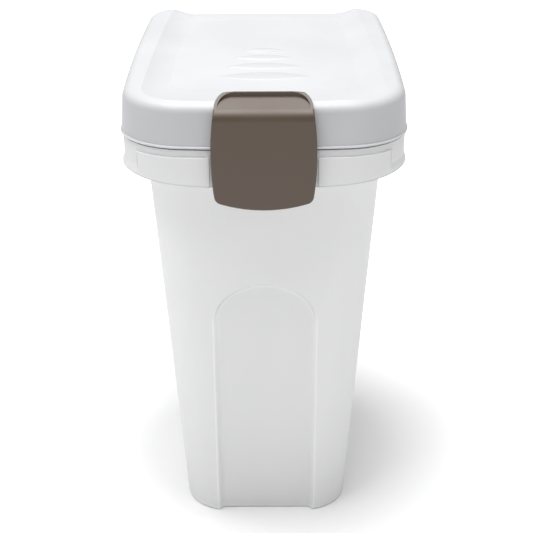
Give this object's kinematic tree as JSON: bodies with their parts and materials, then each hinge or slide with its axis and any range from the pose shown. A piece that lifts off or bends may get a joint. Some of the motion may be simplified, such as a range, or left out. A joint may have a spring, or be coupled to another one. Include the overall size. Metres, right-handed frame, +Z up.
{
  "type": "pet food storage bin",
  "caption": "Tall frosted bin for dry pet food, with a hinged white lid and a large taupe latch that turns up from the collar at the front.",
  "frame": {"origin": "middle of the flat base, on the floor", "axes": "+Z up, the latch faces -Y, +X to the right seen from the front"},
  "size_m": [0.31, 0.442, 0.5455],
  "materials": {
    "frosted_plastic": "frosted, translucent",
    "white_plastic": "smooth, softly glossy",
    "seal_rubber": "matte",
    "taupe_plastic": "satin",
    "pin_steel": "drawn"
  },
  "bodies": {
    "tub": {"tub": "frosted_plastic", "hinge_pin_left": "pin_steel", "hinge_pin_right": "pin_steel"},
    "lid": {"lid": "white_plastic", "lid_seal": "seal_rubber", "latch_pin": "pin_steel"},
    "latch": {"latch": "taupe_plastic"}
  },
  "joints": [
    {"name": "lid_hinge", "type": "hinge", "parent": "tub", "child": "lid", "pos_m": [0, 0.213, 0.4855], "axis": [-1, 0, 0], "range_deg": [0, 105]},
    {"name": "latch_hinge", "type": "hinge", "parent": "lid", "child": "latch", "pos_m": [0, -0.19, 0.53547], "axis": [-1, 0, 0], "range_deg": [0, 115]}
  ]
}
